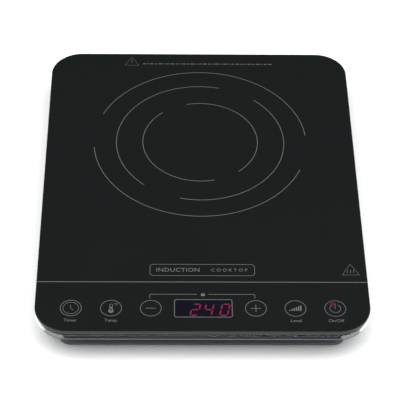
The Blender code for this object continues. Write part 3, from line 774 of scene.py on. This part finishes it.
feed(
    Base_Color=glow.mix((0.12, 0.006, 0.03, 1), (0.15, 0.008, 0.04, 1)),
    Roughness=0.3 + glow * 0.1,
    Emission_Color=glow.mix((0.085, 0.002, 0.018, 1), (0.115, 0.003, 0.024, 1)),
)
add_piece("display_digits", digits.shape, lit_red)

# A thin disc on the glass over the lamp carries the lamp's painted glow.
lamp = Print()
lamp_x, lamp_y = power_x - 2.2, key_y + 5.4
lamp_middle = (*lamp.on_glass(lamp_x, lamp_y).xy, glass_high.z)
lamp.disc(lamp_x, lamp_y, 4.6)
for v in lamp.shape.verts:
    v.co.z = min(v.co.z, glass_top + 0.4 * ink)
# Painted glow: the disc emits red, brightest over the lamp and fading within a few millimetres, in place
# of the lamp's light seen through the glass.
painted_glow, place, feed = new_material("painted_lamp_glow", Emission_Strength=1.0)
away = place.node("VectorMath", {"operation": "DISTANCE"}, output=1, s0=place, s1=lamp_middle)
painted_glow_falloff = place.node(
    "MapRange", {"interpolation_type": "SMOOTHERSTEP"},
    Value=away, From_Min=0.2 * mm, From_Max=4.4 * mm, To_Min=1.0, To_Max=0.0,
)
grit = place.node("TexNoise", Vector=place, Scale=500.0, Detail=1.0)
feed(
    Base_Color=grit.mix((0.0065, 0.0075, 0.0072, 1), (0.0080, 0.0088, 0.0085, 1)),
    Roughness=0.10 + grit * 0.05,
    Emission_Color=(painted_glow_falloff * painted_glow_falloff).mix((0, 0, 0, 1), (0.13, 0.005, 0.010, 1)),
)
add_piece("power_lamp_painted_glow", lamp.shape, painted_glow)


# ---- The coil -------------------------------------------------------------------------------
# Stranded copper wound flat on a pale former, ferrite bars clipped beneath, a mica sheet above,
# and a thermistor in a white silicone holder that presses on the glass.

dress(moulded("former_moulding", (0.72, 0.69, 0.62), 0.50, grain=1500.0), "coil_former")
dress(wound("coil_wire", (0.70, 0.33, 0.15), "DIAGONAL", 0.8 * mm), "coil_winding")
ferrite = moulded("fired_ferrite", (0.040, 0.040, 0.044), 0.55, grain=1100.0, depth=0.05 * mm)
dress(ferrite, *[f"ferrite_bar_{number}" for number in range(1, 7)])
mica, place, feed = new_material("mica_flakes")
flake = place.node("TexVoronoi", {"feature": "F1"}, output=1, Vector=place, Scale=140.0)
haze = place.node("TexNoise", Vector=place, Scale=45.0, Detail=4.0)
feed(
    Base_Color=haze.mix((0.42, 0.36, 0.24, 1), (0.62, 0.57, 0.44, 1)),
    Roughness=0.35 + haze * 0.25,
    Normal=place.node("Bump", Strength=0.25, Distance=0.03 * mm, Height=flake),
)
dress(mica, "mica_sheet")
white_silicone = moulded("white_silicone", (0.72, 0.71, 0.68), 0.55, grain=1300.0)
dress(white_silicone, "thermistor_holder")
dress(moulded("thermistor_glass", (0.20, 0.07, 0.03), 0.20, grain=900.0), "thermistor")
dress(moulded("white_lead_jacket", (0.62, 0.61, 0.58), 0.42), "thermistor_lead", "fan_lead")


# ---- The power board ------------------------------------------------------------------------
# A green laminate board with the parts that drive the coil: two flat devices under an extruded
# aluminium heatsink, film capacitors, wound parts, a glass fuse and the mains terminal.

board, place, feed = new_material("green_board", Coat_Weight=0.4)
tracks = place.node(
    "TexBrick", Vector=place, Scale=120.0, Mortar_Size=0.03, Color1=(1, 1, 1, 1), Color2=(0.6, 0.6, 0.6, 1)
)
weave = place.node("TexNoise", Vector=place, Scale=900.0, Detail=2.0)
feed(
    Base_Color=tracks.mix((0.010, 0.075, 0.028, 1), (0.018, 0.125, 0.045, 1)),
    Roughness=0.30 + weave * 0.15,
    Normal=place.node("Bump", Strength=0.3, Distance=0.03 * mm, Height=tracks),
)
dress(board, "power_board", "control_board")
dress(plated("extruded_aluminium", (0.66, 0.67, 0.68), 0.34, scale=350.0), "heatsink")
epoxy = moulded("device_epoxy", (0.020, 0.020, 0.022), 0.45, grain=1600.0)
dress(epoxy, "igbt", "bridge_rectifier", "buzzer", "current_transformer")
dress(
    moulded("capacitor_case", (0.50, 0.34, 0.05), 0.36),
    "resonant_capacitor", "filter_capacitor", "line_capacitor",
)
dress(moulded("terminal_nylon", (0.66, 0.66, 0.62), 0.45), "mains_terminal", "ribbon_cable")
dress(ferrite, "transformer")
dress(wound("choke_wire", (0.62, 0.27, 0.11), "Y", 0.9 * mm), "filter_choke")
dress(plated("nickel_plate", (0.66, 0.64, 0.58), 0.22), "fuse")


# ---- The touch board ------------------------------------------------------------------------
# A strip of laminate on four posts, under the front of the glass. Plated springs carry each
# key's field to the glass, and the display and the lamp stand beside them.

touch_springs = [f"touch_spring_{number}" for number in range(1, 7)]
dress(plated("spring_wire", (0.72, 0.71, 0.68), 0.24), *touch_springs)
dress(moulded("display_case", (0.016, 0.016, 0.020), 0.22, Coat_Weight=0.3), "display_module")
dress(moulded("lamp_lens", (0.45, 0.02, 0.015), 0.18), "power_led")


# ---- The studio -----------------------------------------------------------------------------
# A wide pale floor, a large soft box overhead, a weaker one on each side, a low card at each
# front corner, a dim room all round, and the camera.

floor = bmesh.new()
bmesh.ops.create_circle(floor, cap_ends=True, radius=6.0, segments=96)
paper, place, feed = new_material("floor_paper")
pulp = place.node("TexNoise", Vector=place, Scale=30.0, Detail=4.0)
feed(
    Base_Color=pulp.mix((0.895, 0.898, 0.896, 1), (0.905, 0.908, 0.906, 1)),
    Roughness=0.85 + pulp * 0.1,
)
mesh = bpy.data.meshes.new("studio_floor")
floor.to_mesh(mesh)
floor.free()
mesh.materials.append(paper)
stage = bpy.data.objects.new("studio_floor", mesh)
bpy.context.scene.collection.objects.link(stage)


def soft_box(name, place, aim, size, watts):
    """A rectangular light that faces a point."""
    light = bpy.data.lights.new(name, "AREA")
    light.shape = "RECTANGLE"
    light.size, light.size_y = size
    light.energy = watts
    made = bpy.data.objects.new(name, light)
    made.location = place
    made.rotation_euler = (Vector(aim) - Vector(place)).to_track_quat("-Z", "Y").to_euler()
    bpy.context.scene.collection.objects.link(made)


soft_box("overhead", (0, -0.55, 1.75), (0, 0, 0), (3.4, 1.8), 92)
soft_box("left_side", (-1.9, 0.1, 0.72), (0, 0.1, 0.60), (1.6, 1.4), 3.6)
soft_box("right_side", (1.9, 0.1, 0.72), (0, 0.1, 0.60), (1.6, 1.4), 3.6)
soft_box("left_card", (-1.35, -1.25, 0.35), (0, 0, 0.30), (2.0, 0.6), 1.3)
soft_box("right_card", (1.35, -1.25, 0.35), (0, 0, 0.30), (2.0, 0.6), 1.3)

world = bpy.data.worlds.new("studio")
world.use_nodes = True
world.node_tree.nodes["Background"].inputs["Color"].default_value = (0.040, 0.046, 0.050, 1)
bpy.context.scene.world = world
bpy.context.scene.view_settings.view_transform = "Standard"

camera_data = bpy.data.cameras.new("camera")
camera_data.sensor_width = 36
camera_data.lens = 160.7
camera = bpy.data.objects.new("camera", camera_data)
pitch, yaw, roll = 44.407, 1.432, 1.188
camera.matrix_world = (
    Matrix.Translation((-0.0291, -1.1501, 1.1442))
    @ Matrix.Rotation(math.radians(-yaw), 4, "Z")
    @ Matrix.Rotation(math.radians(90 - pitch), 4, "X")
    @ Matrix.Rotation(math.radians(roll), 4, "Z")
)
bpy.context.scene.collection.objects.link(camera)
bpy.context.scene.camera = camera
